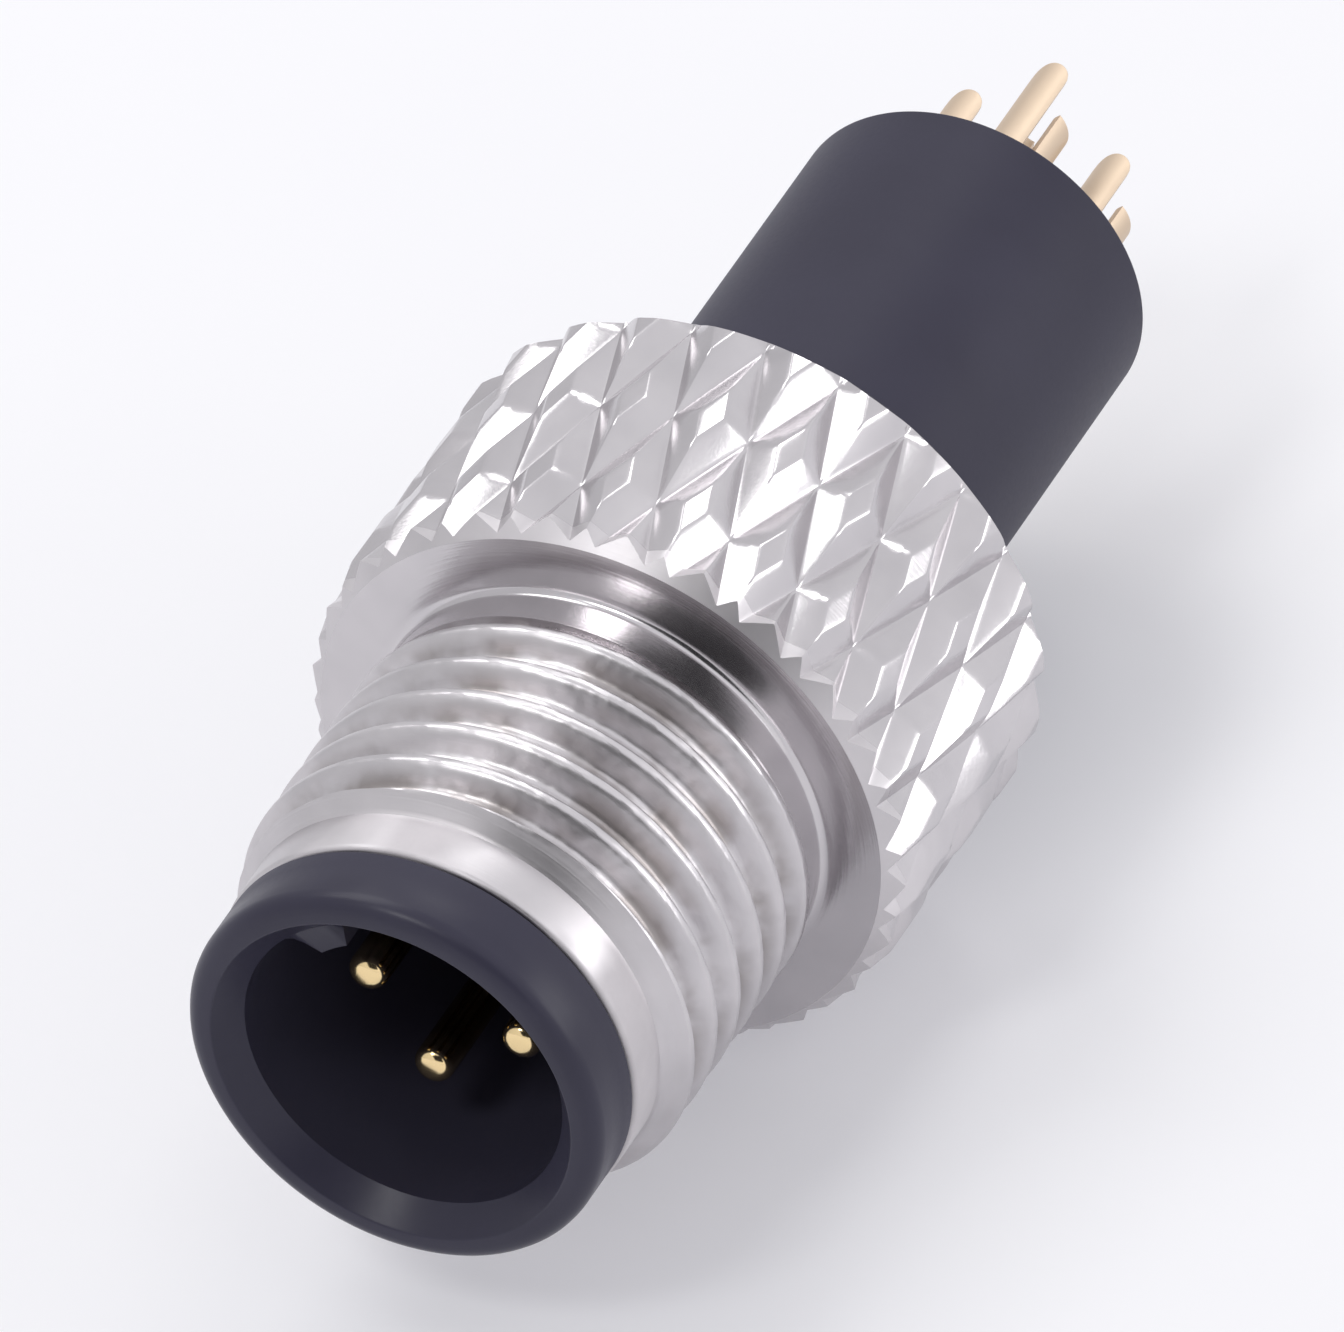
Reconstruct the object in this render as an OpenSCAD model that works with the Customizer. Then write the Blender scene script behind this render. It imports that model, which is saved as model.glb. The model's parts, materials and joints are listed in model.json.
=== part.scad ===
// Circular sensor connector: male insert with four solder contacts and a free-turning coupling screw.
// Millimetres, +Z up. The axis lies along Y, with the mating face towards -Y.
// The knurled head rests on the plane Z = 0, and the part is centred on the origin in X and Y.

/* [Insert] */
// Outer diameter of the collar at the mating end
collar_d = 10.7; // [10.2:0.1:11.6]
// Length of the collar from its rim to its back face
collar_len = 1.9; // [1.2:0.1:3]
// Edge radius of the collar's rim
rim_edge = 0.35; // [0.1:0.05:0.5]
// Diameter of the cavity round the contact pins
cavity_d = 8.2; // [7.4:0.1:8.8]
// Depth of the cavity from the rim to its floor
cavity_depth = 9; // [6:0.5:14]
// Width of the lead-in cone at the cavity's mouth
lead_w = 0.55; // [0.1:0.05:0.8]
// Length of the lead-in cone along the axis
lead_len = 0.7; // [0.2:0.05:1.2]
// Wall of the body round the cavity
body_wall = 0.52; // [0.4:0.02:0.6]
// Length of the rear spigot behind the screw
spigot_len = 12.2; // [6:0.1:20]
// Edge radius of the spigot's rear end
spigot_edge = 0.1; // [0.1:0.05:0.8]

/* [Coding key] */
// Width of the key rib on the cavity wall
key_w = 1.7; // [1.2:0.1:2]
// Width of the key rib's crest
key_crest_w = 0.8; // [0.4:0.1:1.2]
// Height of the key rib above the cavity wall
key_h = 0.85; // [0.4:0.05:1.1]
// Distance of the key rib's front end behind the lead-in cone
key_set = 0.05; // [0.05:0.05:1]
// Length of the slope at the key rib's front end
key_slope = 0.3; // [0.1:0.1:1]
// Angle of the key about the axis, seen from the mating face
key_angle = 119; // [0:1:359]

/* [Contacts] */
// Diameter of the circle that the contacts stand on
contact_circle_d = 4; // [3.6:0.1:4.6]
// Diameter of a contact pin
pin_d = 1; // [0.7:0.05:1.2]
// Depth of the pin tips behind the rim
pin_set = 2.7; // [1:0.1:4]
// Edge radius of a pin's tip
pin_edge = 0.3; // [0.1:0.05:0.3]
// Outer diameter of the solder cup and its barrel
cup_d = 1.6; // [1.3:0.05:2]
// Bore of the solder cup
cup_bore = 1.1; // [1:0.05:1.25]
// Height of the contact's shoulder above the cavity's floor
shoulder_out = 0.2; // [0.1:0.05:0.6]
// Reach of the cup's tongue behind the insert
tongue_out = 4.8; // [4:0.1:7]
// Drop of the cup's side walls below the tongue
wall_drop = 1.5; // [0.6:0.1:1.8]
// Depth of the cup's slot below its side walls
slot_depth = 2; // [0.8:0.1:2.2]
// Width of the cup's slot
slot_w = 0.8; // [0.5:0.05:0.9]
// Depth of the cup's bore below its slot
bore_below_slot = 0.3; // [0.1:0.1:0.6]
// Width of the cup's tongue
tongue_w = 0.9; // [0.6:0.05:0.95]
// Gap between the cup's tongue and its side walls, at the bore
slit_w = 0.05; // [0.02:0.01:0.15]
// Angle that the cups' tongues point to, seen from the mating face
cup_angle = 102; // [0:1:359]

/* [Coupling screw] */
// Major diameter of the thread
thread_d = 12; // [11.6:0.1:13]
// Radial running clearance between the screw and the insert
running_gap = 0.08; // [0.04:0.01:0.1]
// Gap between the collar and the front end of the screw
collar_gap = 0.05; // [0.02:0.01:0.2]
// Length of the plain pilot
pilot_len = 1.3; // [0.5:0.1:2]
// Drop of the pilot below the thread
pilot_drop = 0.6; // [0.4:0.05:0.7]
// Chamfer at the pilot's front edge
pilot_chamfer = 0.15; // [0.05:0.05:0.25]
// Length of the lead cone
cone_len = 0.45; // [0.2:0.05:1]
// Length of the thread
thread_len = 6.6; // [4:0.1:10]
// Length of the undercut behind the thread
undercut_len = 1; // [0.5:0.1:2]
// Drop of the undercut below the thread
undercut_drop = 0.25; // [0.1:0.05:0.7]

/* [Knurled head] */
// Diameter over the knurl
head_d = 15.7; // [15:0.1:18]
// Length of the head
head_len = 8.5; // [6:0.1:12]
// Number of diamonds round the head
knurl_count = 24; // [16:4:32]
// Depth of the knurl grooves
knurl_depth = 0.45; // [0.3:0.05:0.8]
// Share of a diamond that is left flat on top
knurl_flat = 0.3; // [0.15:0.05:0.4]
// Length of half a diamond along the axis
knurl_row = 3; // [2:0.1:4]
// Distance of the last groove crossings from the head's rear face
knurl_set = 0.42; // [0:0.02:1]
// Chamfer at the head's two edges
head_chamfer = 0.55; // [0.3:0.05:0.8]

/* [Hidden] */
$fn = 96;
joint_lap = 1;
contact_count = 4;

// Radii
collar_r = collar_d / 2;
cavity_r = cavity_d / 2;
body_r = cavity_r + body_wall;
key_root_r = cavity_r + body_wall / 2;
screw_bore_r = body_r + running_gap;
thread_r = thread_d / 2;
pilot_r = thread_r - pilot_drop;
undercut_r = thread_r - undercut_drop;
head_r = head_d / 2;
groove_r = head_r - knurl_depth;
pin_r = pin_d / 2;
bore_r = cup_bore / 2;

// Places along the axis, measured back from the rim
z_key = lead_len + key_set;
z_screw = collar_len + collar_gap;
z_cone = z_screw + pilot_len;
z_thread = z_cone + cone_len;
z_undercut = z_thread + thread_len;
z_head = z_undercut + undercut_len;
z_head_end = z_head + head_len;
z_insert_end = z_head_end + spigot_len;
z_tongue = z_insert_end + tongue_out;
z_walls = z_tongue - wall_drop;
z_slot = z_walls - slot_depth;
z_cup_floor = z_slot - bore_below_slot;
z_barrel = cavity_depth - shoulder_out;

// Place across a cup where its side walls end beside the tongue
x_walls = sqrt(bore_r * bore_r - tongue_w * tongue_w / 4) - slit_w;

// Lays the axis along Y, with the rim at the front. The head rests on the plane Z = 0 on diamonds of
// alternate rows, which stand a quarter of a step to the left and to the right of its lowest line.
knurl_step = 360 / knurl_count;
rest_turn = -0.25;
rest_r = head_r * cos(knurl_step * (abs(rest_turn) - knurl_flat / 2));

module lay_down() {
    translate([0, -z_tongue / 2, rest_r])
        rotate([-90, 0, 0])
            children();
}

// Turns to an angle about the axis that is counted as seen from the mating face
module clocked(angle) {
    rotate([0, 0, -angle])
        children();
}

// Places of the contacts: the key stands midway between the first two
function contact_angle(i) = key_angle + 45 - 360 / contact_count * i;

module on_contact(i) {
    clocked(contact_angle(i))
        translate([contact_circle_d / 2, 0, 0])
            clocked(cup_angle - contact_angle(i))
                children();
}

// Half section of the insert before the contacts go in
module insert_section() {
    difference() {
        union() {
            translate([0, rim_edge])
                square([collar_r, collar_len - rim_edge]);
            square([collar_r - rim_edge, collar_len]);
            translate([collar_r - rim_edge, rim_edge])
                circle(r = rim_edge);
            square([body_r, z_insert_end - spigot_edge]);
            square([body_r - spigot_edge, z_insert_end]);
            translate([body_r - spigot_edge, z_insert_end - spigot_edge])
                circle(r = spigot_edge);
        }
        translate([0, -joint_lap])
            square([cavity_r, cavity_depth + joint_lap]);
        polygon([
            [0, -lead_len],
            [cavity_r + 2 * lead_w, -lead_len],
            [cavity_r, lead_len],
            [0, lead_len]
        ]);
    }
}

// Tapered rib on the cavity wall, sloped at its front end
module key_rib() {
    clocked(key_angle)
        intersection() {
            linear_extrude(height = cavity_depth + body_wall)
                polygon([
                    [key_root_r, -key_w / 2],
                    [cavity_r - key_h, -key_crest_w / 2],
                    [cavity_r - key_h, key_crest_w / 2],
                    [key_root_r, key_w / 2]
                ]);
            rotate([90, 0, 0])
                linear_extrude(height = 2 * key_w, center = true)
                    polygon([
                        [key_root_r, z_key],
                        [cavity_r, z_key],
                        [cavity_r - key_h, z_key + key_slope],
                        [cavity_r - key_h, cavity_depth + body_wall],
                        [key_root_r, cavity_depth + body_wall]
                    ]);
        }
}

// Seat of one contact in the insert
module contact_seat() {
    translate([0, 0, cavity_depth - joint_lap])
        cylinder(h = z_insert_end - cavity_depth + 2 * joint_lap, d = cup_d);
}

module insert() {
    color("#34343c")
        lay_down()
            difference() {
                union() {
                    rotate_extrude()
                        insert_section();
                    key_rib();
                }
                for (i = [0 : contact_count - 1])
                    on_contact(i)
                        contact_seat();
            }
}

// Outline of the tongue, seen along the way that the cup opens
module tongue_outline() {
    round_z = z_tongue - tongue_w / 2;
    translate([-tongue_w / 2, z_cup_floor])
        square([tongue_w, round_z - z_cup_floor]);
    translate([0, round_z])
        circle(d = tongue_w);
}

// Half section of a pin with a rounded tip
module pin_section() {
    translate([0, pin_set + pin_edge])
        square([pin_r, z_barrel - pin_set - pin_edge + joint_lap]);
    translate([0, pin_set])
        square([pin_r - pin_edge, pin_edge + joint_lap]);
    intersection() {
        translate([pin_r - pin_edge, pin_set + pin_edge])
            circle(r = pin_edge);
        square([pin_r, z_barrel]);
    }
}

// Slot with a round foot through the open side of the cup
module cup_slot() {
    translate([-cup_d, -slot_w / 2, z_slot + slot_w / 2])
        cube([cup_d, slot_w, z_tongue]);
    translate([-cup_d, 0, z_slot + slot_w / 2])
        rotate([0, 90, 0])
            cylinder(h = cup_d, d = slot_w);
}

module cup_hollow() {
    translate([0, 0, z_cup_floor])
        cylinder(h = z_tongue, d = cup_bore);
}

// One contact along its own axis: round pin in front, split solder cup that opens away from its tongue behind
module contact_body() {
    rotate_extrude()
        pin_section();
    difference() {
        translate([0, 0, z_barrel])
            cylinder(h = z_walls - z_barrel, d = cup_d);
        cup_hollow();
        cup_slot();
        translate([x_walls, -cup_d, z_slot])
            cube([cup_d, 2 * cup_d, z_tongue]);
    }
    difference() {
        intersection() {
            translate([0, 0, z_cup_floor])
                cylinder(h = z_tongue, d = cup_d);
            rotate([90, 0, 90])
                linear_extrude(height = cup_d)
                    tongue_outline();
        }
        cup_hollow();
    }
}

module contact(i) {
    color("#d9b25c")
        lay_down()
            on_contact(i)
                contact_body();
}

module contact_1() {
    contact(0);
}

module contact_2() {
    contact(1);
}

module contact_3() {
    contact(2);
}

module contact_4() {
    contact(3);
}

// Half section of the screw in front of its head; the thread itself is cut into the plain cylinder
module shank_section() {
    polygon([
        [0, z_screw],
        [pilot_r - pilot_chamfer, z_screw],
        [pilot_r, z_screw + pilot_chamfer],
        [pilot_r, z_cone],
        [thread_r, z_thread],
        [thread_r, z_undercut],
        [undercut_r, z_undercut],
        [undercut_r, z_head + joint_lap],
        [0, z_head + joint_lap]
    ]);
}

// Half section of the head's blank, chamfered at both ends and wider than the knurl between them
module head_section() {
    polygon([
        [0, z_head],
        [head_r - head_chamfer, z_head],
        [head_r + joint_lap, z_head + head_chamfer + joint_lap],
        [head_r + joint_lap, z_head_end - head_chamfer - joint_lap],
        [head_r - head_chamfer, z_head_end],
        [0, z_head_end]
    ]);
}

// Diamond knurl. Two sets of opposite V grooves leave diamonds with small flats.
// A row is a ring of diamonds with the groove crossings between them. The rows run from one behind
// the head to one in front of it, and every second row stands half a step round.
last_row = ceil((head_len - knurl_set) / knurl_row) + 1;
rows = last_row + 1;
flat_half = knurl_row * knurl_flat;

function z_row(row) = z_head_end - knurl_set + knurl_row * (1 - row);
function odd(row) = row % 2;

function ring(turn, z, r) = [
    for (i = [0 : knurl_count - 1])
        [r * cos((i + turn) * knurl_step), r * sin((i + turn) * knurl_step), z]
];

knurl_points = concat(
    // Groove crossings, and the left, right, front and rear corners of the flats
    [for (row = [0 : last_row]) each ring((1 - odd(row)) / 2, z_row(row), groove_r)],
    [for (row = [0 : last_row]) each ring((odd(row) - knurl_flat) / 2, z_row(row), head_r)],
    [for (row = [0 : last_row]) each ring((odd(row) + knurl_flat) / 2, z_row(row), head_r)],
    [for (row = [0 : last_row - 1]) each ring(odd(row) / 2, z_row(row) - flat_half, head_r)],
    [for (row = [1 : last_row]) each ring(odd(row) / 2, z_row(row) + flat_half, head_r)],
    // Centres of the rear and front ends
    [[0, 0, z_row(0)], [0, 0, z_row(last_row)]]
);

// Index of a point: its ring in knurl_points, and its place round the head
function at(group, i) = group * knurl_count + (i + knurl_count) % knurl_count;
function crossing(row, i) = at(row, i);
function groove_l(row, i) = crossing(row, i - 1 + odd(row));
function groove_r_of(row, i) = crossing(row, i + odd(row));
function left(row, i) = at(rows + row, i);
function right(row, i) = at(2 * rows + row, i);
function front(row, i) = at(3 * rows + row, i);
function rear(row, i) = at(3 * rows + last_row + row - 1, i);
rear_centre = (3 * rows + 2 * last_row) * knurl_count;
front_centre = rear_centre + 1;

function quad(a, b, c, d) = [[a, b, c], [a, c, d]];

// Flanks of a diamond towards the front and towards the rear
function front_flanks(row, i) = concat(
    quad(groove_l(row, i), left(row, i), front(row, i), crossing(row + 1, i)),
    quad(right(row, i), groove_r_of(row, i), crossing(row + 1, i), front(row, i))
);
function rear_flanks(row, i) = concat(
    quad(groove_l(row, i), crossing(row - 1, i), rear(row, i), left(row, i)),
    quad(crossing(row - 1, i), groove_r_of(row, i), right(row, i), rear(row, i))
);

knurl_faces = [
    for (i = [0 : knurl_count - 1])
        each concat(
            [for (row = [0 : last_row - 1]) each front_flanks(row, i)],
            [for (row = [1 : last_row]) each rear_flanks(row, i)],
            // Flats: whole ones, and halves in the first and last rows
            [for (row = [1 : last_row - 1]) [left(row, i), rear(row, i), front(row, i)]],
            [for (row = [1 : last_row - 1]) [rear(row, i), right(row, i), front(row, i)]],
            [[left(0, i), right(0, i), front(0, i)]],
            [[left(last_row, i), rear(last_row, i), right(last_row, i)]],
            // Rear and front ends
            [[rear_centre, right(0, i), left(0, i)]],
            [[rear_centre, groove_r_of(0, i), right(0, i)]],
            [[rear_centre, left(0, i), groove_l(0, i)]],
            [[front_centre, left(last_row, i), right(last_row, i)]],
            [[front_centre, right(last_row, i), groove_r_of(last_row, i)]],
            [[front_centre, groove_l(last_row, i), left(last_row, i)]]
        )
];

module knurled_head() {
    intersection() {
        rotate([0, 0, 90 + rest_turn * knurl_step])
            polyhedron(points = knurl_points, faces = knurl_faces);
        rotate_extrude()
            head_section();
    }
}

module coupling_screw() {
    color("#c9c9c6")
        lay_down()
            difference() {
                union() {
                    rotate_extrude()
                        shank_section();
                    knurled_head();
                }
                translate([0, 0, z_screw - joint_lap])
                    cylinder(h = z_head_end - z_screw + 2 * joint_lap, r = screw_bore_r);
            }
}

insert();
contact_1();
contact_2();
contact_3();
contact_4();
coupling_screw();
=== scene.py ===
"""Looks of a male circular sensor connector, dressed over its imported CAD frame.

The connector lies on its knurled head, with its axis along Y and its mating face towards -Y.
Shapes are worked out in millimetres from the axis: a radius, an angle counted from +X towards +Z,
and a depth measured back from the mating rim. place() puts such a point into the frame, in metres.
"""
import json
import math

import bmesh
import bpy
from mathutils import Matrix, Quaternion, Vector


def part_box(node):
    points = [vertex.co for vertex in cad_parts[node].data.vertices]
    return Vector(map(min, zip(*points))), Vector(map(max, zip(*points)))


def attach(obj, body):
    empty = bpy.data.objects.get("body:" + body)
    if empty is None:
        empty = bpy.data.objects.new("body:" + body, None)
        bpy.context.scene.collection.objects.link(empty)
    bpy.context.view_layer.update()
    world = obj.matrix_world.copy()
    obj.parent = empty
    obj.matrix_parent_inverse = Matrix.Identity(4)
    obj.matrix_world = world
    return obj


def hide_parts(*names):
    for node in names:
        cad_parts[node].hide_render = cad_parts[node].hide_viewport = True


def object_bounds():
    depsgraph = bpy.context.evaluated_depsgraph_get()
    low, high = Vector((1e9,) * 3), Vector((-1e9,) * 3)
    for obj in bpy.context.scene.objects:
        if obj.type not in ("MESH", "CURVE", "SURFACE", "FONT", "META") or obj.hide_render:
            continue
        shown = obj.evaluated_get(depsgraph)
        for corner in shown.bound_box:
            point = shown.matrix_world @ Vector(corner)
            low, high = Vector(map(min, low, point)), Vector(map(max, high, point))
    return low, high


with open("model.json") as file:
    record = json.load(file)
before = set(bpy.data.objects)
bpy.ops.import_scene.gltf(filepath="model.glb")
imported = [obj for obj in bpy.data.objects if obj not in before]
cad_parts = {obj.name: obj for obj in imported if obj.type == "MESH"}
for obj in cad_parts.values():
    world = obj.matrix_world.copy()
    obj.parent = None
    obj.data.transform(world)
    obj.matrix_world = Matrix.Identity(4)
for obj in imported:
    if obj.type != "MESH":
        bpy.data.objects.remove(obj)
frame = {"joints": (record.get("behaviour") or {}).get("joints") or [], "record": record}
cad_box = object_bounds()

MM = 0.001
TURN = 2 * math.pi

# Places and sizes that the frame gives
mounts = {mount["name"]: mount for mount in frame["record"]["mounts"]}
insert_low, insert_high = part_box("insert")
screw_low, screw_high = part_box("coupling_screw")
axis_z = frame["joints"][0]["pos_m"][2]
rim_y = insert_low.y


def depth_of(y):
    return (y - rim_y) / MM


collar_r = (insert_high.x - insert_low.x) / 2 / MM
insert_end = depth_of(insert_high.y)
spigot_r = mounts["rear_spigot"]["dims"]["r_mm"]
screw_front = depth_of(screw_low.y)
head_end = depth_of(screw_high.y)
thread_r = mounts["mating_thread"]["dims"]["r_mm"]
thread_half = mounts["mating_thread"]["dims"]["length_mm"] / 2
thread_front = depth_of(mounts["mating_thread"]["pos_m"][1]) - thread_half
thread_rear = thread_front + 2 * thread_half
cavity_depth = depth_of(mounts["contact_pins"]["pos_m"][1])
pin_r = mounts["contact_pins"]["dims"]["stud_r_mm"]
cup_bore_r = mounts["solder_cups"]["dims"]["hole_r_mm"]

# Sizes of the insert in millimetres
collar_len = 1.9
cavity_r = 4.1
lead_w = 0.55
lead_len = 0.7
rim_edge = 0.45
spigot_edge = 0.1
small_edge = 0.07
floor_ring = 1.0
key_angle = math.radians(119)
key_w = 1.7
key_crest_w = 0.8
key_h = 0.85
key_behind_lead = 0.05
key_front = lead_len + key_behind_lead
key_slope = 0.3
key_crest_half = math.asin(key_crest_w / 2 / (cavity_r - key_h))
key_foot_half = math.asin(key_w / 2 / cavity_r)
seat_gap = 0.02

# Sizes of the contacts
shoulder_out = 0.2
contact_edge = 0.04
pin_edge = 0.3
wall_drop = 1.5
slot_depth = 2.0
slot_w = 0.8
bore_below_slot = 0.3
bore_edge = 0.1
tongue_half = math.radians(40)
walls_from = math.radians(66)
cup_angle = math.radians(102)

# Sizes of the coupling screw
screw_bore_r = 4.7
pilot_r = 5.4
pilot_chamfer = 0.15
cone_len = 0.45
cone_foot_soft = 0.03
cone_top_soft = 0.04
thread_pitch = 1.25
thread_root_r = 5.42
thread_crest_share = 0.10
thread_root_share = 0.37
thread_soft = 0.3
thread_turn = math.radians(23.5)
thread_end_slope = 0.12
thread_run_out = 0.1
cone_run_out = 0.05
thread_margin = 0.06
undercut_r = 5.75
undercut_fillet = 0.22
undercut_ring = 1.5 * undercut_fillet
head_front = 11.3
bore_chamfer = 0.1

# Diamond knurl
knurl_count = 24
knurl_depth = 0.45
knurl_flat = 0.3
knurl_row = 3.0
knurl_set = 0.42
knurl_turn = -0.25
knurl_soft = 0.06
head_chamfer = 0.55
knurl_step = TURN / knurl_count
# The head's box is narrower than its circle: the nearest flats end at this angle off the X axis
flat_off_x = knurl_step * (abs(knurl_turn) - knurl_flat / 2)
head_r = (screw_high.x - screw_low.x) / 2 / MM / math.cos(flat_off_x)

# Share of the floor's brightness that no shadow takes away
floor_glow = 0.27

# Steps of the meshes. A cup's edge has two columns, each CUP_EDGE off it.
SCREW_COLUMNS = 288
INSERT_COLUMNS = 240
SEAT_COLUMNS = 64
THREAD_STEP = 0.045
CUP_STEP = 0.08
CUP_EDGE = 0.004
ARC_STEPS = 5

# Angles in degrees from which an edge is shaded sharp
SHARP_MOULDED = 30
SHARP_CONTACT = 35
SHARP_TURNED = 28

# How far a cutting shape runs past what it cuts, in millimetres
CUT_REACH = 1.0

# Distances in metres below which points are one, and below which they lie on a plane
WELD = 1e-8
ON_PLANE = 1e-7


# Shapes from radii, angles and depths

def place(radius, angle, depth, centre=(0.0, 0.0)):
    """Point in the frame, in metres. centre moves the axis that the radius is counted from."""
    x = centre[0] + radius * math.cos(angle)
    z = centre[1] + radius * math.sin(angle)
    return (x * MM, rim_y + depth * MM, axis_z + z * MM)


def level(depth):
    """Y in the frame of a depth behind the rim."""
    return place(0, 0, depth)[1]


def soft_min(a, b, width):
    return min(a, b) - max(width - abs(a - b), 0) ** 2 / (4 * width)


def soft_max(a, b, width):
    return -soft_min(-a, -b, width)


def soft_ramp(value, width):
    """value held between 0 and 1, with rounded ends."""
    return soft_max(soft_min(value, 1, width), 0, width)


def fade(value, start, end):
    share = min(max((value - start) / (end - start), 0), 1)
    return share * share * (3 - 2 * share)


def even(start, end, step):
    """Even values from start to end, both included, about a step apart."""
    count = max(1, round((end - start) / step))
    return [start + (end - start) * k / count for k in range(count + 1)]


def even_angles(count):
    return [TURN * i / count for i in range(count)]


def rounded(corners):
    """Outline of (radius, depth) points through (radius, depth, rounding) corners."""
    points = []
    for i, (radius, depth, rounding) in enumerate(corners):
        if rounding == 0:
            points.append((radius, depth))
            continue
        corner = Vector((radius, depth))
        back = (Vector(corners[i - 1][:2]) - corner).normalized()
        ahead = (Vector(corners[i + 1][:2]) - corner).normalized()
        half = back.angle(ahead) / 2
        centre = corner + (back + ahead).normalized() * (rounding / math.sin(half))
        start = corner + back * (rounding / math.tan(half)) - centre
        end = corner + ahead * (rounding / math.tan(half)) - centre
        sweep = math.pi - 2 * half
        for k in range(ARC_STEPS + 1):
            share = k / ARC_STEPS
            arm = start * math.sin((1 - share) * sweep) + end * math.sin(share * sweep)
            points.append(tuple(centre + arm / math.sin(sweep)))
    return points


def skin(rows, angles, centre=(0.0, 0.0)):
    """Vertices and faces of a surface round an axis.

    A row is a (radius, depth) pair, or a function of the angle that gives such a pair.
    A row of no radius is a single point, which closes the surface.
    """
    vertices, faces, rings = [], [], []
    for row in rows:
        first = len(vertices)
        if not callable(row) and row[0] == 0:
            vertices.append(place(0, 0, row[1], centre))
            rings.append([first] * len(angles))
            continue
        for angle in angles:
            radius, depth = row(angle) if callable(row) else row
            vertices.append(place(radius, angle, depth, centre))
        rings.append(list(range(first, len(vertices))))
    for near, far in zip(rings, rings[1:]):
        for i in range(len(angles)):
            face = [near[i - 1], near[i], far[i], far[i - 1]]
            faces.append(list(dict.fromkeys(face)))
    return vertices, faces


def mesh_object(name, vertices, faces):
    mesh = bpy.data.meshes.new(name)
    mesh.from_pydata(vertices, [], faces)
    made = bpy.data.objects.new(name, mesh)
    bpy.context.scene.collection.objects.link(made)
    return made


def weld(made):
    """Joins double points, and turns the faces outward."""
    shape = bmesh.new()
    shape.from_mesh(made.data)
    bmesh.ops.remove_doubles(shape, verts=shape.verts, dist=WELD)
    bmesh.ops.recalc_face_normals(shape, faces=shape.faces)
    shape.to_mesh(made.data)
    shape.free()
    return made


def finish_mesh(made, sharp_angle):
    """Outward faces, and smooth shading up to an angle in degrees."""
    weld(made)
    made.data.shade_smooth()
    made.data.set_sharp_from_angle(angle=math.radians(sharp_angle))
    normals = made.modifiers.new("even_normals", "WEIGHTED_NORMAL")
    normals.keep_sharp = True
    return made


def carve(made, tools, operation):
    """Cuts one object by others, and removes those."""
    for tool in tools:
        step = made.modifiers.new("cut", "BOOLEAN")
        step.object = tool
        step.operation = operation
        step.solver = "EXACT"
    graph = bpy.context.evaluated_depsgraph_get()
    result = bpy.data.meshes.new_from_object(made.evaluated_get(graph))
    made.modifiers.clear()
    made.data = result
    for tool in tools:
        bpy.data.objects.remove(tool)


# Insert

def contact_centre(number):
    low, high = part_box(f"contact_{number}")
    middle = (low + high) / 2
    return (middle.x / MM, (middle.z - axis_z) / MM)


def key_height(angle, depth):
    """Height of the coding key over the cavity's wall."""
    off = abs(math.remainder(angle - key_angle, TURN))
    across = min(max((key_foot_half - off) / (key_foot_half - key_crest_half), 0), 1)
    along = min(max((depth - key_front) / key_slope, 0), 1)
    return key_h * across * along


def cavity_row(radius, depth):
    return lambda angle: (min(radius, cavity_r - key_height(angle, depth)), depth)


def insert_angles():
    """Even angles, with the key's edges among them."""
    step = TURN / INSERT_COLUMNS
    sides = (-key_foot_half, -key_crest_half, key_crest_half, key_foot_half)
    marks = [key_angle + side for side in sides]
    apart = [a for a in even_angles(INSERT_COLUMNS) if min(abs(a - m) for m in marks) > step / 2]
    return sorted(apart + marks)


def make_insert():
    cavity = rounded([
        (cavity_r - floor_ring, cavity_depth, 0),
        (cavity_r, cavity_depth, small_edge),
        (cavity_r, key_front + key_slope, 0),
        (cavity_r, key_front, 0),
        (cavity_r, lead_len, 0),
    ])
    outside = rounded([
        (cavity_r, lead_len, 0),
        (cavity_r + lead_w, 0, small_edge),
        (collar_r, 0, rim_edge),
        (collar_r, collar_len, small_edge),
        (spigot_r, collar_len, 0),
        (spigot_r, head_end, 0),
        (spigot_r, insert_end, spigot_edge),
        (0, insert_end, 0),
    ])
    rows = [(0, cavity_depth)] + [cavity_row(*point) for point in cavity] + outside[1:]
    made = mesh_object("insert_moulding", *skin(rows, insert_angles()))
    front, rear = cavity_depth - CUT_REACH, insert_end + CUT_REACH
    seats = []
    for number in range(1, 5):
        centre = contact_centre(number)
        low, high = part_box(f"contact_{number}")
        seat_r = (high.x - low.x) / 2 / MM + seat_gap
        rows = [(0, front), (seat_r, front), (seat_r, rear), (0, rear)]
        seat = mesh_object(f"seat_{number}", *skin(rows, even_angles(SEAT_COLUMNS), centre))
        seats.append(weld(seat))
    carve(weld(made), seats, "DIFFERENCE")
    return finish_mesh(made, SHARP_MOULDED)


# Contacts

def cup_rim(off, cup_r, tongue_end):
    """Depth of the solder cup's rim at an angle off the tongue's middle."""
    walls = tongue_end - wall_drop
    across = cup_r * math.sin(off)
    if abs(off) < tongue_half:
        tip_r = cup_r * math.sin(tongue_half)
        return tongue_end - tip_r + math.sqrt(tip_r**2 - across**2)
    if abs(off) < walls_from:
        return walls - slot_depth
    if math.cos(off) < 0 and abs(across) < slot_w / 2:
        return walls - slot_depth + slot_w / 2 - math.sqrt((slot_w / 2) ** 2 - across**2)
    return walls


def cup_angles(cup_r):
    """Angles off the tongue's middle, with the edges of the tongue, the walls and the slot doubled."""
    slot = math.pi - math.asin(slot_w / 2 / cup_r)
    edges = [-CUP_EDGE, tongue_half, walls_from, slot, math.pi + CUP_EDGE]
    half = []
    for start, end in zip(edges, edges[1:]):
        half += even(start + CUP_EDGE, end - CUP_EDGE, CUP_STEP)
    return half + [-a for a in reversed(half[1:-1])]


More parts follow.
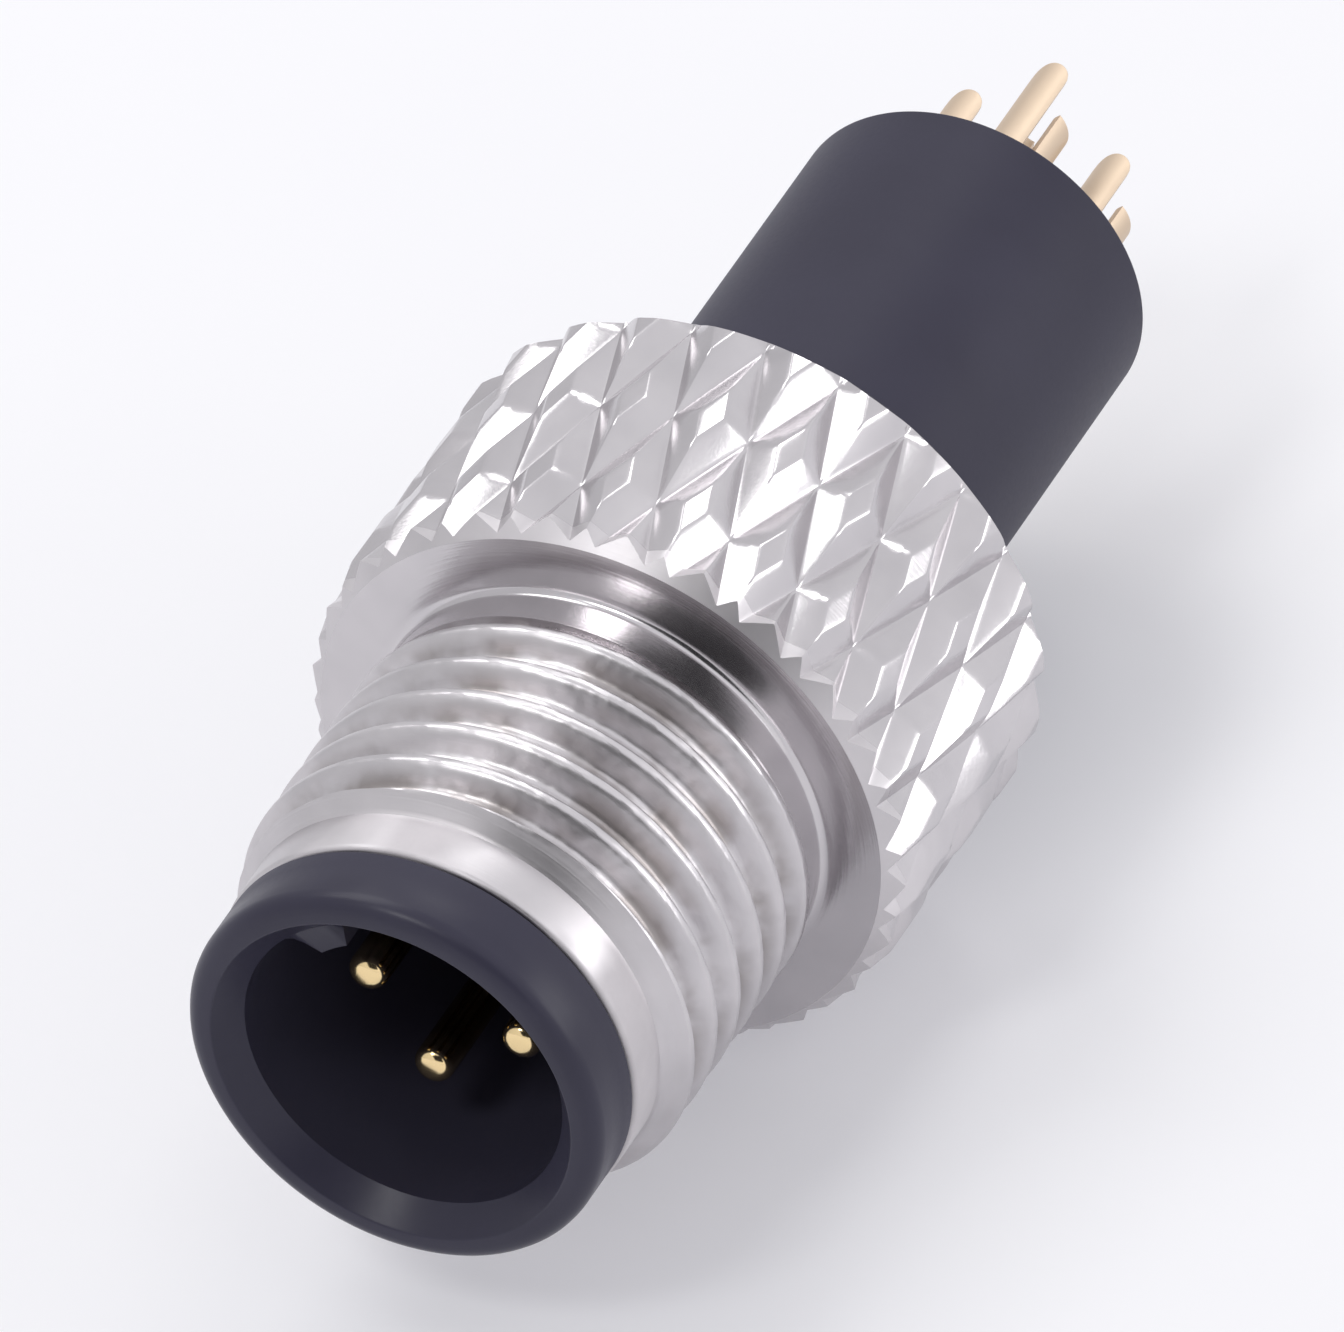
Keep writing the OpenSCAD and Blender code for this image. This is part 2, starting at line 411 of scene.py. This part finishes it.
def make_contact(number):
    low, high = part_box(f"contact_{number}")
    cup_r = (high.x - low.x) / 2 / MM
    tip, tongue_end = depth_of(low.y), depth_of(high.y)
    shoulder = cavity_depth - shoulder_out
    cup_floor = tongue_end - wall_drop - slot_depth - bore_below_slot
    barrel = rounded([
        (0, tip, 0),
        (pin_r, tip, pin_edge),
        (pin_r, shoulder, 0),
        (cup_r, shoulder, 2 * contact_edge),
        (cup_r, cup_floor, 0),
    ])

    def rim_row(radius, drop):
        def row(angle):
            off = math.remainder(angle - cup_angle, TURN)
            return (radius, cup_rim(off, cup_r, tongue_end) - drop)
        return row

    rim = [
        rim_row(cup_r, contact_edge),
        rim_row(cup_r - contact_edge, 0),
        rim_row(cup_bore_r + contact_edge, 0),
        rim_row(cup_bore_r, contact_edge),
    ]
    bore = [(cup_bore_r, cup_floor + bore_edge), (cup_bore_r - bore_edge, cup_floor), (0, cup_floor)]
    angles = [cup_angle + a for a in cup_angles(cup_r)]
    rows = barrel + rim + bore
    made = mesh_object(f"solder_contact_{number}", *skin(rows, angles, contact_centre(number)))
    return finish_mesh(made, SHARP_CONTACT)


# Coupling screw

def shank_radius(depth, angle):
    """Radius of the pilot, the lead cone and the thread."""
    cone_front = thread_front - cone_len
    slope = (thread_r - pilot_r) / cone_len
    cone = min(pilot_r + (depth - cone_front) * slope, thread_r)
    outline = soft_min(soft_max(pilot_r, cone, cone_foot_soft), thread_r, cone_top_soft)
    end_share = (depth - thread_rear + thread_end_slope) / thread_end_slope
    outline = min(outline, max(thread_r - end_share * (thread_r - undercut_r), undercut_r))
    phase = (depth - thread_front) / thread_pitch + (angle - thread_turn) / TURN
    off_crest = abs(math.remainder(phase, 1))
    ramp = (thread_root_share - off_crest) / (thread_root_share - thread_crest_share)
    height = soft_ramp(ramp, thread_soft)
    height = max(height, fade(depth, thread_rear - thread_run_out, thread_rear))
    height = max(height, fade(-depth, -cone_front, -cone_front + cone_run_out))
    return min(outline, thread_root_r + (thread_r - thread_root_r) * height)


def shank_skin():
    """Bore, front face, pilot, thread and undercut, open at the head's two faces."""
    cone_front = thread_front - cone_len
    inside = rounded([
        (screw_bore_r + bore_chamfer, head_end, 0),
        (screw_bore_r, head_end - bore_chamfer, 0),
        (screw_bore_r, screw_front + bore_chamfer, 0),
        (screw_bore_r + bore_chamfer, screw_front, 0),
        (pilot_r, screw_front, pilot_chamfer),
        (pilot_r, cone_front - 2 * thread_margin, 0),
    ])
    depths = even(cone_front - thread_margin, thread_rear + thread_margin, THREAD_STEP)
    threaded = [lambda angle, d=depth: (shank_radius(d, angle), d) for depth in depths]
    undercut = rounded([
        (undercut_r, thread_rear + 2 * thread_margin, 0),
        (undercut_r, head_front, undercut_fillet),
        (undercut_r + undercut_ring, head_front, 0),
    ])
    return skin(inside + threaded + undercut, even_angles(SCREW_COLUMNS))


def knurl_radius(along, across):
    """Radius of the knurl. along and across are counted over a diamond's two grooves, from its middle."""
    reach = 0.5 - knurl_flat / 2
    drops = [soft_ramp((abs(v) - knurl_flat / 2) / reach, knurl_soft) for v in (along, across)]
    return head_r - knurl_depth * soft_max(*drops, knurl_soft)


def knurl_marks():
    """Grid lines over half a diamond, closest at the edge of its flat and at its groove."""
    edge = knurl_flat / 2
    half = [0, 0.55 * edge, 0.85 * edge, edge, 1.12 * edge, 1.45 * edge]
    half += [0.25, 0.33, 0.40, 0.45, 0.48, 0.5]
    return [-v for v in reversed(half[1:])] + half


def knurl_skin(front, rear):
    """Rows of diamonds from one depth to another, as triangles split along the diamonds' ridges."""
    marks = knurl_marks()
    vertices, faces = [], []

    def depth_at(row, along, across):
        return head_end - knurl_set - knurl_row * (row + along - across)

    def point(row, turn, along, across):
        angle = knurl_step * (turn + (along + across) / 2)
        return place(knurl_radius(along, across), angle, depth_at(row, along, across))

    def add(*corners):
        first = len(vertices)
        vertices.extend(corners)
        faces.append(list(range(first, first + len(corners))))

    for row in range(-1, math.ceil((rear - front) / knurl_row) + 1):
        first_turn = knurl_turn + row % 2 / 2
        for a, b in zip(marks, marks[1:]):
            for c, d in zip(marks, marks[1:]):
                if depth_at(row, b, c) > rear or depth_at(row, a, d) < front:
                    continue
                corners = [(a, c), (b, c), (b, d), (a, d)]
                if (a + b) * (c + d) < 0:
                    corners = corners[1:] + corners[:1]
                for turn in range(knurl_count):
                    ring = [point(row, first_turn + turn, *corner) for corner in corners]
                    add(ring[0], ring[1], ring[2])
                    add(ring[0], ring[2], ring[3])
    return vertices, faces


def trim(shape, depth, away):
    """Cuts a mesh at a depth and caps it. What lies in front (-1) or behind (1) is dropped."""
    middle = place(0, 0, depth)
    everything = shape.verts[:] + shape.edges[:] + shape.faces[:]
    bmesh.ops.bisect_plane(
        shape, geom=everything, dist=WELD, plane_co=middle, plane_no=(0, away, 0), clear_outer=True
    )
    hub = shape.verts.new(middle)
    for edge in open_edges(shape, depth):
        shape.faces.new((*edge.verts, hub))


def lies_at(part, depth):
    """Whether all points of an edge or a face lie at a depth."""
    return all(abs(v.co.y - level(depth)) < ON_PLANE for v in part.verts)


def open_edges(shape, depth):
    return [e for e in shape.edges if e.is_boundary and lies_at(e, depth)]


def knurled_head():
    """Knurl between the head's two chamfers, open at its front and rear faces."""
    spare = 0.3
    front, rear = head_front - spare, head_end + spare
    made = mesh_object("coupling_screw_turned", *knurl_skin(front - spare, rear + spare))
    shape = bmesh.new()
    shape.from_mesh(made.data)
    bmesh.ops.remove_doubles(shape, verts=shape.verts, dist=WELD)
    trim(shape, rear, 1)
    trim(shape, front, -1)
    bmesh.ops.recalc_face_normals(shape, faces=shape.faces)
    shape.to_mesh(made.data)
    shape.free()
    edge_r, wide_r = head_r - head_chamfer, head_r + CUT_REACH
    blank = mesh_object("blank", *skin([
        (0, head_front),
        (edge_r, head_front),
        (wide_r, head_front + head_chamfer + CUT_REACH),
        (wide_r, head_end - head_chamfer - CUT_REACH),
        (edge_r, head_end),
        (0, head_end),
    ], even_angles(SCREW_COLUMNS)))
    carve(made, [weld(blank)], "INTERSECT")
    return made


def close_face(shape, depth):
    """Fills the flat ring between the open edges that lie at a depth."""
    bmesh.ops.triangle_fill(shape, use_beauty=True, use_dissolve=False, edges=open_edges(shape, depth))


def make_screw():
    made = knurled_head()
    shape = bmesh.new()
    shape.from_mesh(made.data)
    ends = [f for f in shape.faces if lies_at(f, head_front) or lies_at(f, head_end)]
    bmesh.ops.delete(shape, geom=ends, context="FACES")
    vertices, faces = shank_skin()
    shank = bpy.data.meshes.new("shank")
    shank.from_pydata(vertices, [], faces)
    shape.from_mesh(shank)
    bpy.data.meshes.remove(shank)
    close_face(shape, head_front)
    close_face(shape, head_end)
    shape.to_mesh(made.data)
    shape.free()
    return finish_mesh(made, SHARP_TURNED)


# Materials

class Nodes:
    """Short calls for building a node tree."""

    def __init__(self, tree):
        self.tree = tree

    def add(self, kind, inputs=(), **settings):
        node = self.tree.nodes.new("ShaderNode" + kind)
        for name, value in settings.items():
            setattr(node, name, value)
        for key, value in dict(inputs).items():
            socket = node.inputs[key]
            if isinstance(value, bpy.types.NodeSocket):
                self.tree.links.new(value, socket)
            else:
                socket.default_value = value
        return node

    def math(self, operation, a, b=0.0):
        return self.add("Math", {0: a, 1: b}, operation=operation).outputs[0]

    def ranged(self, value, low, high, start=0.0, end=1.0):
        """low to high, as value goes from start to end."""
        spans = {"From Min": start, "From Max": end, "To Min": low, "To Max": high}
        return self.add("MapRange", {"Value": value, **spans}).outputs["Result"]

    def ramp(self, value, stops):
        node = self.add("ValToRGB", {"Fac": value})
        elements = node.color_ramp.elements
        while len(elements) < len(stops):
            elements.new(0.5)
        for element, (position, colour) in zip(elements, stops):
            element.position = position
            element.color = (*colour, 1)
        return node.outputs["Color"]

    def noise(self, vector, scale, detail=3.0, roughness=0.5):
        """Noise with about scale spots to a metre."""
        inputs = {"Vector": vector, "Scale": scale, "Detail": detail, "Roughness": roughness}
        return self.add("TexNoise", inputs).outputs["Fac"]

    def bump(self, height, distance, strength=1.0, normal=None):
        inputs = {"Height": height, "Distance": distance, "Strength": strength}
        if normal is not None:
            inputs["Normal"] = normal
        return self.add("Bump", inputs).outputs["Normal"]


def new_material(name):
    made = bpy.data.materials.new(name)
    made.use_nodes = True
    made.node_tree.nodes.clear()
    nodes = Nodes(made.node_tree)
    shader = nodes.add("BsdfPrincipled")
    output = nodes.add("OutputMaterial")
    made.node_tree.links.new(shader.outputs["BSDF"], output.inputs["Surface"])
    return made, nodes, shader


def join(nodes, shader, **links):
    names = {"colour": "Base Color", "roughness": "Roughness", "normal": "Normal"}
    for key, socket in links.items():
        nodes.tree.links.new(socket, shader.inputs[names[key]])


def object_coordinates(nodes):
    """Place on the object, and its X, Y and Z."""
    place_in = nodes.add("TexCoord").outputs["Object"]
    return place_in, nodes.add("SeparateXYZ", {"Vector": place_in}).outputs


def turned_coordinates(nodes, parts):
    """Radius from the axis, and (radius, Y) for marks that run round it."""
    up = nodes.math("SUBTRACT", parts["Z"], axis_z)
    across_square = nodes.math("MULTIPLY", parts["X"], parts["X"])
    square = nodes.math("ADD", across_square, nodes.math("MULTIPLY", up, up))
    radius = nodes.math("SQRT", square)
    return radius, nodes.add("CombineXYZ", {"X": radius, "Y": parts["Y"]}).outputs["Vector"]


def nickel():
    """Nickel plate, bright on the head's faces and the knurl.

    It is duller on the shank and the head's front chamfer, and patchy on the pilot. In the
    valleys of the thread it is wavy, and darker in patches: partly stain, partly painted shade.
    Lengths are in millimetres.
    """
    shank_blend, thread_blend, pilot_blend = 0.4, 0.2, 0.3
    chamfer_blend, edge_blend = 0.05, 0.01
    stain_shade_root, stain_shade_crest = thread_root_r + 0.1, thread_r - 0.08
    stain_and_shade_colour = (0.31, 0.28, 0.27, 1)
    shank_rough, chamfer_rough = 0.16, 0.22
    made, nodes, shader = new_material("nickel_plate")
    shader.inputs["Metallic"].default_value = 1.0
    place_in, parts = object_coordinates(nodes)
    radius, turned = turned_coordinates(nodes, parts)
    along = parts["Y"]
    shank = nodes.ranged(along, 1, 0, level(thread_rear - shank_blend), level(thread_rear))
    thread_from, thread_full = thread_front - thread_blend, thread_front + thread_blend
    past_pilot = nodes.ranged(along, 0, 1, level(thread_from), level(thread_full))
    threaded = nodes.math("MULTIPLY", past_pilot, shank)
    pilot_full, pilot_end = thread_front - 2 * pilot_blend, thread_front - pilot_blend
    pilot = nodes.ranged(along, 1, 0, level(pilot_full), level(pilot_end))
    chamfer_end, chamfer_r = head_front + head_chamfer, head_r - head_chamfer
    chamfer = nodes.math(
        "MULTIPLY",
        nodes.ranged(along, 1, 0, level(chamfer_end), level(chamfer_end + chamfer_blend)),
        nodes.ranged(radius, 0, 1, (chamfer_r - edge_blend) * MM, chamfer_r * MM),
    )
    dull = nodes.ranged(nodes.noise(place_in, 350, 2), 0.05, 0.4, 0.4, 0.6)
    cloud = nodes.noise(place_in, 420, 4)
    waves = nodes.noise(place_in, 900, 2)
    # Darker patches in the thread's valleys: partly stain, partly painted shade in the recess
    valley = nodes.ranged(radius, 1, 0, stain_shade_root * MM, stain_shade_crest * MM)
    patch = nodes.ranged(nodes.noise(place_in, 600, 3), 0, 0.85, 0.42, 0.62)
    stain_and_shade = nodes.math("MULTIPLY", nodes.math("MULTIPLY", valley, patch), threaded)
    grain = nodes.noise(place_in, 9000, 2)
    lines = nodes.noise(turned, 16000, 2, 0.6)
    clean = nodes.ramp(cloud, [(0.3, (0.56, 0.54, 0.555)), (0.7, (0.64, 0.615, 0.63))])
    colour = nodes.add("Mix", {0: stain_and_shade, 6: clean, 7: stain_and_shade_colour}, data_type="RGBA").outputs[2]
    rough = nodes.math("ADD", nodes.ranged(cloud, 0.16, 0.23), nodes.ranged(grain, -0.03, 0.03))
    rough = nodes.math("ADD", rough, nodes.math("MULTIPLY", shank, shank_rough))
    rough = nodes.math("ADD", rough, nodes.math("MULTIPLY", pilot, dull))
    rough = nodes.math("ADD", rough, nodes.math("MULTIPLY", chamfer, chamfer_rough))
    normal = nodes.bump(lines, 0.004 * MM, 0.5)
    normal = nodes.bump(grain, 0.003 * MM, 0.35, normal)
    normal = nodes.bump(nodes.math("MULTIPLY", waves, threaded), 0.1 * MM, 0.8, normal)
    join(nodes, shader, colour=colour, roughness=rough, normal=normal)
    return made


def moulded_plastic():
    """Matt black plastic, smoother at the rim."""
    rim_smooth, rim_from, rim_to = 0.2, 0.8, 1.4
    made, nodes, shader = new_material("moulded_plastic")
    shader.inputs["Specular IOR Level"].default_value = 0.22
    place_in, parts = object_coordinates(nodes)
    cloud = nodes.noise(place_in, 260, 4)
    grain = nodes.noise(place_in, 7000, 3, 0.6)
    colour = nodes.ramp(cloud, [(0.3, (0.035, 0.033, 0.054)), (0.7, (0.043, 0.041, 0.065))])
    rim = nodes.ranged(parts["Y"], rim_smooth, 0, level(rim_from), level(rim_to))
    rough = nodes.math("ADD", nodes.ranged(cloud, 0.46, 0.56), nodes.ranged(grain, -0.05, 0.05))
    rough = nodes.math("SUBTRACT", rough, rim)
    normal = nodes.bump(grain, 0.004 * MM, 0.3)
    join(nodes, shader, colour=colour, roughness=rough, normal=normal)
    return made


def gold():
    """Gold plate: bright at the pins' tips, painted shade on their shafts, pale and dull at the cups."""
    tip_len, shaft_shade_blend, cup_blend, cup_rough = 0.3, 0.7, 4.0, 0.66
    made, nodes, shader = new_material("gold_plate")
    shader.inputs["Metallic"].default_value = 1.0
    place_in, parts = object_coordinates(nodes)
    _, turned = turned_coordinates(nodes, parts)
    cloud = nodes.noise(place_in, 900, 3)
    lines = nodes.noise(turned, 12000, 2)
    tip_end = depth_of(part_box("contact_1")[0].y) + tip_len
    # From the tip back along the shaft, the ramp below paints shade
    shaft_shade = nodes.ranged(parts["Y"], 0, 0.5, level(tip_end), level(tip_end + shaft_shade_blend))
    rear = nodes.ranged(parts["Y"], 0, 0.5, level(insert_end - cup_blend), level(insert_end))
    zone = nodes.math("ADD", shaft_shade, rear)
    zone = nodes.math("ADD", nodes.ranged(cloud, -0.08, 0.08), zone)
    # The middle stop is painted shade: it darkens the pins' shafts, deep in the cavity
    stops = [(0.05, (0.90, 0.70, 0.38)), (0.5, (0.42, 0.29, 0.12)), (0.95, (0.67, 0.54, 0.41))]
    colour = nodes.ramp(zone, stops)
    rough = nodes.math("ADD", nodes.ranged(cloud, 0.10, 0.20), nodes.math("MULTIPLY", rear, cup_rough))
    normal = nodes.bump(lines, 0.003 * MM, 0.4)
    join(nodes, shader, colour=colour, roughness=rough, normal=normal)
    return made


def seen_directly(nodes):
    """1 for rays that show a surface, straight or in a reflection, and 0 for light on its way."""
    rays = nodes.add("LightPath").outputs
    seen = nodes.math("ADD", rays["Is Camera Ray"], rays["Is Glossy Ray"])
    return nodes.math("MINIMUM", nodes.math("ADD", seen, rays["Is Transmission Ray"]), 1.0)


def floor_paper():
    """Pale paper that glows a little, so that its shadow stays faint."""
    made, nodes, shader = new_material("floor_paper")
    shader.inputs["Roughness"].default_value = 0.8
    shader.inputs["Specular IOR Level"].default_value = 0.2
    place_in = nodes.add("TexCoord").outputs["Object"]
    fibres = nodes.noise(place_in, 60, 3)
    colour = nodes.ramp(fibres, [(0.3, (0.945, 0.945, 0.955)), (0.7, (0.96, 0.96, 0.965))])
    join(nodes, shader, colour=colour)
    glow = nodes.add("Emission", {"Color": (0.93, 0.92, 1.0, 1), "Strength": 1.0})
    share = nodes.math("MULTIPLY", seen_directly(nodes), floor_glow)
    mixed = nodes.add("MixShader", {0: share, 1: shader.outputs["BSDF"], 2: glow.outputs["Emission"]})
    output = next(n for n in nodes.tree.nodes if n.type == "OUTPUT_MATERIAL")
    nodes.tree.links.new(mixed.outputs["Shader"], output.inputs["Surface"])
    return made


# Pieces

def dress(piece, material, body, node):
    piece.data.materials.clear()
    piece.data.materials.append(material)
    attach(piece, body)
    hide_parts(node)


gold_plate = gold()
dress(make_insert(), moulded_plastic(), "insert_body", "insert")
for contact in range(1, 5):
    dress(make_contact(contact), gold_plate, "insert_body", f"contact_{contact}")
dress(make_screw(), nickel(), "screw_body", "coupling_screw")


# Stage, light and camera

def direction(azimuth, elevation):
    """Unit vector from the object towards a place round it: azimuth 0 is the front, 90 the right."""
    a, e = math.radians(azimuth), math.radians(elevation)
    return Vector((math.sin(a) * math.cos(e), -math.cos(a) * math.cos(e), math.sin(e)))


def make_floor():
    half, z = 2.0, cad_box[0].z
    corners = [(-half, -half, z), (half, -half, z), (half, half, z), (-half, half, z)]
    made = mesh_object("floor", corners, [[0, 1, 2, 3]])
    made.data.materials.append(floor_paper())


def softbox(name, azimuth, elevation, distance, width, height, radiance):
    """Soft area light that looks at the object. Its radiance is set, and its power follows."""
    lamp = bpy.data.lights.new(name, "AREA")
    lamp.shape = "RECTANGLE"
    lamp.size, lamp.size_y = width, height
    lamp.energy = radiance * math.pi * width * height
    made = bpy.data.objects.new(name, lamp)
    towards = direction(azimuth, elevation)
    made.location = Vector((0, 0, axis_z)) + towards * distance
    made.rotation_euler = towards.to_track_quat("Z", "Y").to_euler()
    bpy.context.scene.collection.objects.link(made)


def dark_card(azimuth, elevation, distance, width, height):
    """Black card that only reflections show, as a camera and its user do in front of a real set."""
    towards = direction(azimuth, elevation)
    side = Vector((0, 0, 1)).cross(towards).normalized()
    up = towards.cross(side)
    middle = Vector((0, 0, axis_z)) + towards * distance
    spans = [(-1, -1), (1, -1), (1, 1), (-1, 1)]
    corners = [middle + side * (sx * width / 2) + up * (sy * height / 2) for sx, sy in spans]
    made = mesh_object("dark_card", corners, [[0, 1, 2, 3]])
    card, _, shader = new_material("black_card")
    shader.inputs["Base Color"].default_value = (0.012, 0.012, 0.014, 1)
    shader.inputs["Roughness"].default_value = 0.9
    made.data.materials.append(card)
    made.visible_camera = False
    made.visible_diffuse = False
    made.visible_shadow = False


def make_world():
    """Pale studio. Where it is seen it is a little darker towards -X, and as a light it is dimmer."""
    seen_left, seen_right, reach, as_light = 0.72, 1.06, 0.9, 0.55
    world = bpy.data.worlds.new("studio")
    world.use_nodes = True
    world.node_tree.nodes.clear()
    nodes = Nodes(world.node_tree)
    around = nodes.add("TexCoord").outputs["Generated"]
    across = nodes.add("SeparateXYZ", {"Vector": around}).outputs["X"]
    seen = nodes.ranged(across, seen_left, seen_right, -reach, reach)
    strength = nodes.ranged(seen_directly(nodes), as_light, seen)
    back = nodes.add("Background", {"Color": (0.97, 0.97, 1.0, 1), "Strength": strength})
    output = nodes.add("OutputWorld")
    world.node_tree.links.new(back.outputs["Background"], output.inputs["Surface"])
    bpy.context.scene.world = world


def make_camera():
    """Camera at the photograph's view. scale is pixels to a millimetre at the point it aims at."""
    azimuth, elevation, roll = 31.006, 38.477, math.radians(-8.663)
    distance = 0.564
    image_w, scale = 1344, 42.31
    aim_depth, aim_up, aim_right = 15.31, 0.418, -0.02
    towards = direction(azimuth, elevation)
    unrolled = Vector((0, 0, 1)).cross(towards).normalized()
    right = Quaternion(towards, roll) @ unrolled
    up = towards.cross(right)
    aim = Vector(place(0, 0, aim_depth)) + up * (aim_up * MM) + right * (aim_right * MM)
    camera = bpy.data.cameras.new("camera")
    camera.sensor_width = 36.0
    camera.lens = camera.sensor_width * distance / (image_w / scale * MM)
    camera.clip_start, camera.clip_end = 0.05, 5.0
    made = bpy.data.objects.new("camera", camera)
    made.location = aim + towards * distance
    made.rotation_euler = Matrix((right, up, towards)).transposed().to_euler()
    bpy.context.scene.collection.objects.link(made)
    bpy.context.scene.camera = made


make_floor()
make_world()
softbox("key_light", 250, 62, distance=0.42, width=0.30, height=0.20, radiance=2.95)
softbox("back_light", 181, 47, distance=0.40, width=0.12, height=0.09, radiance=4.0)
softbox("fill_light", 112, 14, distance=0.45, width=0.30, height=0.18, radiance=2.5)
softbox("front_light", 348, 54, distance=0.45, width=0.10, height=0.10, radiance=9.7)
dark_card(24.4, 31.2, distance=0.30, width=0.27, height=0.22)
make_camera()
bpy.context.scene.view_settings.view_transform = "Standard"
